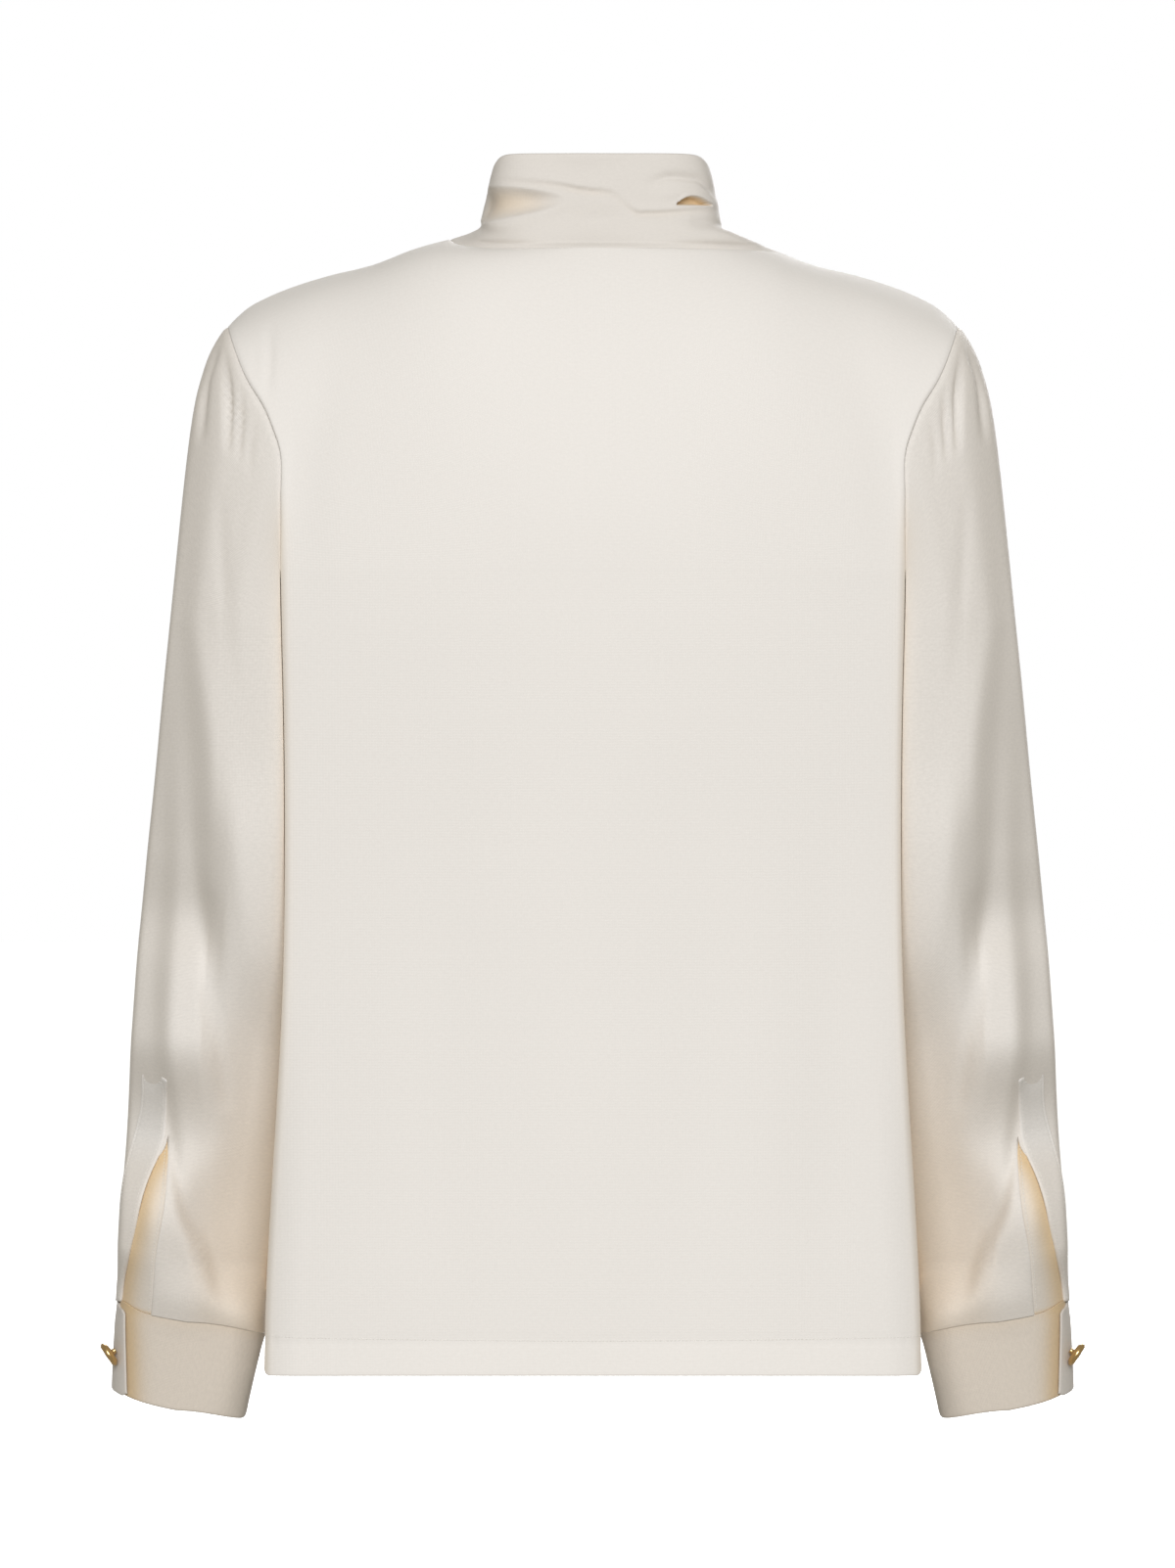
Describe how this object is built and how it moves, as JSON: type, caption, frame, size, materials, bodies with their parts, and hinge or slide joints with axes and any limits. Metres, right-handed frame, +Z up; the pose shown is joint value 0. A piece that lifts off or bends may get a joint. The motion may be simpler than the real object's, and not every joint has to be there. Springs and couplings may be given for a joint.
{
  "type": "silk blouse",
  "caption": "Long-sleeved ivory silk blouse, hollow as worn, with a crushed stand collar, tower plackets and buttoned cuffs.",
  "frame": {"origin": "between the wearer's shoulders, level with the neck seam, where the wearer holds the blouse up", "axes": "+Z up along the blouse's length, +Y out of its back, +X towards the wearer's left sleeve"},
  "size_m": [0.5642, 0.2273, 0.7184],
  "materials": {
    "silk": "ivory silk crepe, soft low sheen",
    "gilt": "polished, with a pale pearl face"
  },
  "bodies": {
    "root": {"back": "silk", "front": "silk", "collar_left": "silk", "collar_right": "silk", "sleeve_left": "silk", "sleeve_right": "silk", "placket_left": "silk", "placket_right": "silk", "underlap_left": "silk", "underlap_right": "silk", "cuff_left": "silk", "cuff_right": "silk", "button_left": "gilt", "button_right": "gilt"}
  },
  "joints": []
}
